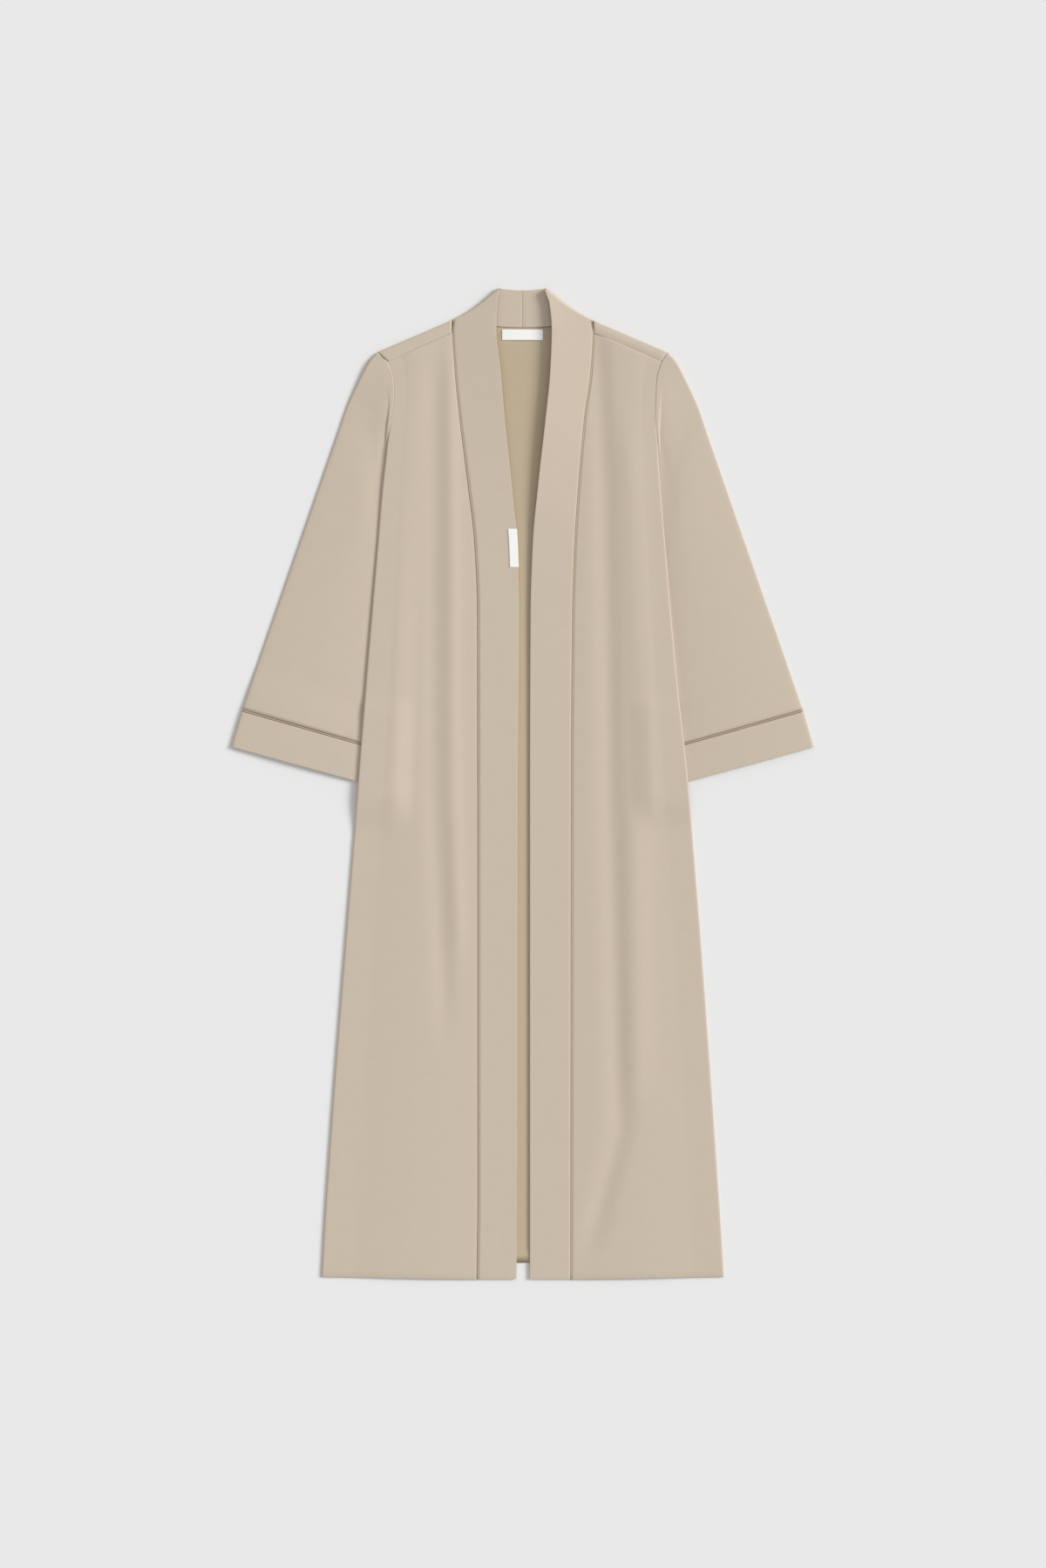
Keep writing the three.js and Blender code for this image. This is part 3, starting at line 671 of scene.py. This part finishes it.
def tube_place(plan, tops, bottom, thickness, column, v):
    k, stage, angle = column[:, 0], column[:, 1], column[:, 2]
    x, y = plan(k, v)
    top = tops(k, v)
    radius = (top - bottom) / 2
    at_fold = (stage == 2) | (stage == 4)
    inset = np.where(at_fold, thickness / 2 + radius * (1 - np.cos(angle)), 0)
    neighbour = np.where(stage == 4, 1.5, ACROSS - 2.5)
    nx, ny = plan(neighbour, v)
    length = np.hypot(nx - x, ny - y) + 1e-9
    x = x + (nx - x) / length * inset
    y = y + (ny - y) / length * inset
    z = np.where(at_fold, bottom + radius * (1 + np.sin(angle)), np.where(stage == 1, top, bottom))
    return x, y, z


def sleeve(side):
    columns = tube_columns()
    rows = np.concatenate([np.linspace(0, 0.06, 20), np.linspace(0.06, 1, 90)[1:]])

    def place(column, v):
        x, y, z = tube_place(
            lambda k, v: sleeve_plan(side, k, v), lambda k, v: sleeve_tops(side, k, v),
            CLOTH / 2, CLOTH, column, v)
        return side.sign * x, y, z

    node = "sleeve_" + side.name
    piece = cloth(node + "_cloth", columns, rows, place, CLOTH, closed=True)
    finish_sheet(piece, node)
    return piece


def cuff_plan(k, offset):
    outer0, inner0 = cuff_ends(SEWN_EDGE)
    outer1, inner1 = cuff_ends(CUFF_DEPTH)
    t = (offset - SEWN_EDGE) / (CUFF_DEPTH - SEWN_EDGE)
    u = k / (ACROSS - 1)
    x = lerp(lerp(outer0[0], outer1[0], t), lerp(inner0[0], inner1[0], t), u)
    y = lerp(lerp(outer0[1], outer1[1], t), lerp(inner0[1], inner1[1], t), u)
    return x, y


def cuff_tops(k, offset):
    u = k / (ACROSS - 1)
    return CUFF_TOP + CUFF_BULGE * swell(u) + 0 * offset


def cuff(side):
    rows = np.linspace(SEWN_EDGE, CUFF_END, CUFF_ROWS)

    def place(column, offset):
        x, y, z = tube_place(cuff_plan, cuff_tops, DOUBLED / 2, DOUBLED, column, offset)
        return side.sign * x, y, z

    node = "cuff_" + side.name
    piece = cloth(node + "_cloth", tube_columns(), rows, place, DOUBLED, closed=True, round_edges=0.8)
    finish_sheet(piece, node)
    return piece


def cuff_piping(side):
    columns = np.linspace(0, 2 * math.pi, 11)
    rows = tube_columns()

    def place(angle, row):
        offset = -np.cos(angle) * PIPING / 2 * 0.95
        x, y, z = tube_place(cuff_plan, cuff_tops, 1.1, 2.0, row, offset)
        return side.sign * x, y, z + np.sin(angle) * 1.0

    node = "piping_cuff_" + side.name
    mesh = grid_mesh(node + "_cord", columns, rows, place, closed=True)
    smooth(mesh)
    piece = new_object(mesh.name, mesh)
    finish_trim(piece, node)
    return piece

# ---- Labels ------------------------------------------------------------------------------------


def neck_label():
    columns = runs([], np.linspace(-29.5, 29.5, 30), [])
    rows = runs([], np.linspace(635.8, 651, 8), [])

    def place(column, row):
        x, y = column[:, 1], row[:, 1]
        return x, y, 1.7 + 0.5 * np.cos(x / 29.5 * QUARTER)

    piece = cloth("neck_ribbon", columns, rows, place, LABEL, round_edges=0.2)
    finish_sheet(piece, "neck_label")
    return piece


def band_label():
    columns = runs([], np.linspace(0, 1, 8), [])
    rows = runs([], np.linspace(310, 365, 30), [])

    def place(column, row):
        y = row[:, 1]
        sewn, free, sag = band_lines(RIGHT, y)
        reach = np.hypot(free[:, 0] - sewn[:, 0], free[:, 1] - sewn[:, 1])
        distance = lerp(reach - 11.8, reach + 0.8, column[:, 1])
        x, y, z = on_band(RIGHT, sewn, free, sag, distance)
        return x, y, z + DOUBLED / 2 + 0.3 + LABEL / 2

    piece = cloth("band_ribbon", columns, rows, place, LABEL, round_edges=0.2)
    finish_sheet(piece, "band_label")
    return piece

# ---- Materials ---------------------------------------------------------------------------------


class Socket:
    """A number in a material: Python arithmetic on it adds the material's own maths nodes."""

    def __init__(self, build, socket):
        self.build = build
        self.socket = socket

    def _math(self, operation, *values):
        return self.build.node("ShaderNodeMath", {"operation": operation}, values)

    def __add__(self, other):
        return self._math("ADD", self, other)

    def __sub__(self, other):
        return self._math("SUBTRACT", self, other)

    def __rsub__(self, other):
        return self._math("SUBTRACT", other, self)

    def __mul__(self, other):
        return self._math("MULTIPLY", self, other)

    __radd__ = __add__
    __rmul__ = __mul__


class Finish:
    """One material, built from nodes."""

    def __init__(self, name):
        self.material = bpy.data.materials.new(name)
        self.material.use_nodes = True
        self.nodes = self.material.node_tree.nodes
        self.links = self.material.node_tree.links
        self.shader = next(node for node in self.nodes if node.type == "BSDF_PRINCIPLED")

    def node(self, kind, settings=None, values=(), output=0):
        made = self.nodes.new(kind)
        for key, value in (settings or {}).items():
            setattr(made, key, value)
        pairs = values.items() if isinstance(values, dict) else enumerate(values)
        for key, value in pairs:
            self.feed(made.inputs[key], value)
        return Socket(self, made.outputs[output])

    def feed(self, socket, value):
        if isinstance(value, Socket):
            self.links.new(value.socket, socket)
        else:
            socket.default_value = value


def linear(*levels):
    """A display colour, each level out of 255, as the shader's own."""
    return tuple(((v / 255 + 0.055) / 1.055) ** 2.4 if v > 10 else v / 3294.6 for v in levels) + (1,)


def crepe(name, light, dark):
    finish = Finish(name)
    place = finish.node("ShaderNodeTexCoord", output="Object")
    cloud = finish.node("ShaderNodeTexNoise", values={"Vector": place, "Scale": 60, "Detail": 3})
    grain = finish.node("ShaderNodeTexNoise", values={"Vector": place, "Scale": 1400, "Detail": 2})
    mottle = cloud * 0.5 + grain * 0.5
    colour = finish.node(
        "ShaderNodeMix", {"data_type": "RGBA"},
        {"Factor": mottle, 6: dark, 7: light}, output=2)
    finish.feed(finish.shader.inputs["Base Color"], colour)
    bump = finish.node("ShaderNodeBump", values={"Height": grain, "Strength": 0.25, "Distance": 0.0002})
    finish.feed(finish.shader.inputs["Normal"], bump)
    finish.shader.inputs["Roughness"].default_value = 0.85
    finish.shader.inputs["Sheen Weight"].default_value = 0.15
    finish.shader.inputs["Sheen Roughness"].default_value = 0.5
    finish.shader.inputs["Specular IOR Level"].default_value = 0.25
    return finish.material


def dress(pieces, material):
    for piece in pieces:
        piece.data.materials.clear()
        piece.data.materials.append(material)

# ---- The scene ---------------------------------------------------------------------------------


def stage():
    mesh = bpy.data.meshes.new("floor")
    bm = bmesh.new()
    bmesh.ops.create_grid(bm, x_segments=1, y_segments=1, size=4)
    bm.to_mesh(mesh)
    bm.free()
    floor = new_object("floor", mesh)
    finish = Finish("pale floor")
    finish.shader.inputs["Base Color"].default_value = linear(*[FLOOR_SHADE] * 3)
    finish.shader.inputs["Roughness"].default_value = 0.9
    finish.shader.inputs["Specular IOR Level"].default_value = 0.0
    floor.data.materials.append(finish.material)


FLOOR_SHADE = 235


KEY_POWER = 2.6
SKY_POWER = 0.56
KEY_WAY = (-1, -0.35, -0.62)


def lights():
    data = bpy.data.lights.new("key", "SUN")
    data.angle = math.radians(24)
    data.energy = KEY_POWER
    key = bpy.data.objects.new("key", data)
    bpy.context.collection.objects.link(key)
    key.rotation_euler = Vector(KEY_WAY).to_track_quat("-Z", "Y").to_euler()
    world = bpy.data.worlds.new("studio")
    world.use_nodes = True
    world.node_tree.nodes["Background"].inputs["Color"].default_value = (1, 1, 1, 1)
    world.node_tree.nodes["Background"].inputs["Strength"].default_value = SKY_POWER
    bpy.context.scene.world = world
    bpy.context.scene.view_settings.view_transform = "Standard"


def camera():
    data = bpy.data.cameras.new("camera")
    data.lens = 85
    data.sensor_fit = "VERTICAL"
    data.sensor_height = 36
    view = bpy.data.objects.new("camera", data)
    bpy.context.collection.objects.link(view)
    height = 1799 * 1.25 * MM
    view.location = (0.5 * 1.25 * MM, -0.5 * 1.25 * MM, height * 85 / 36)
    bpy.context.scene.camera = view


camera()
lights()
stage()
painted_shade_back = [back()]
outside = []
for side in SIDES:
    outside += [shoulder(side), front(side), sleeve(side), cuff(side), band(side)]
trims = []
for side in SIDES:
    trims += [band_piping(side), cuff_piping(side)]
labels = [neck_label(), band_label()]

cloth_light, cloth_dark = linear(205, 191, 173), linear(198, 183, 165)
dress(outside, crepe("crepe", cloth_light, cloth_dark))
# The back shows only down in the gap and the V between the bands. It gets a darker, yellower copy of the
# crepe: painted shade.
dress(painted_shade_back, crepe("crepe inside", linear(195, 178, 152), linear(187, 170, 143)))
# The self-fabric piping gets a darker copy of the crepe: painted shade standing in for the seam grooves
# along it.
dress(trims, crepe("piping in painted shade", linear(184, 167, 145), linear(172, 154, 130)))
dress(labels, crepe("label ribbon", linear(250, 249, 247), linear(244, 243, 240)))
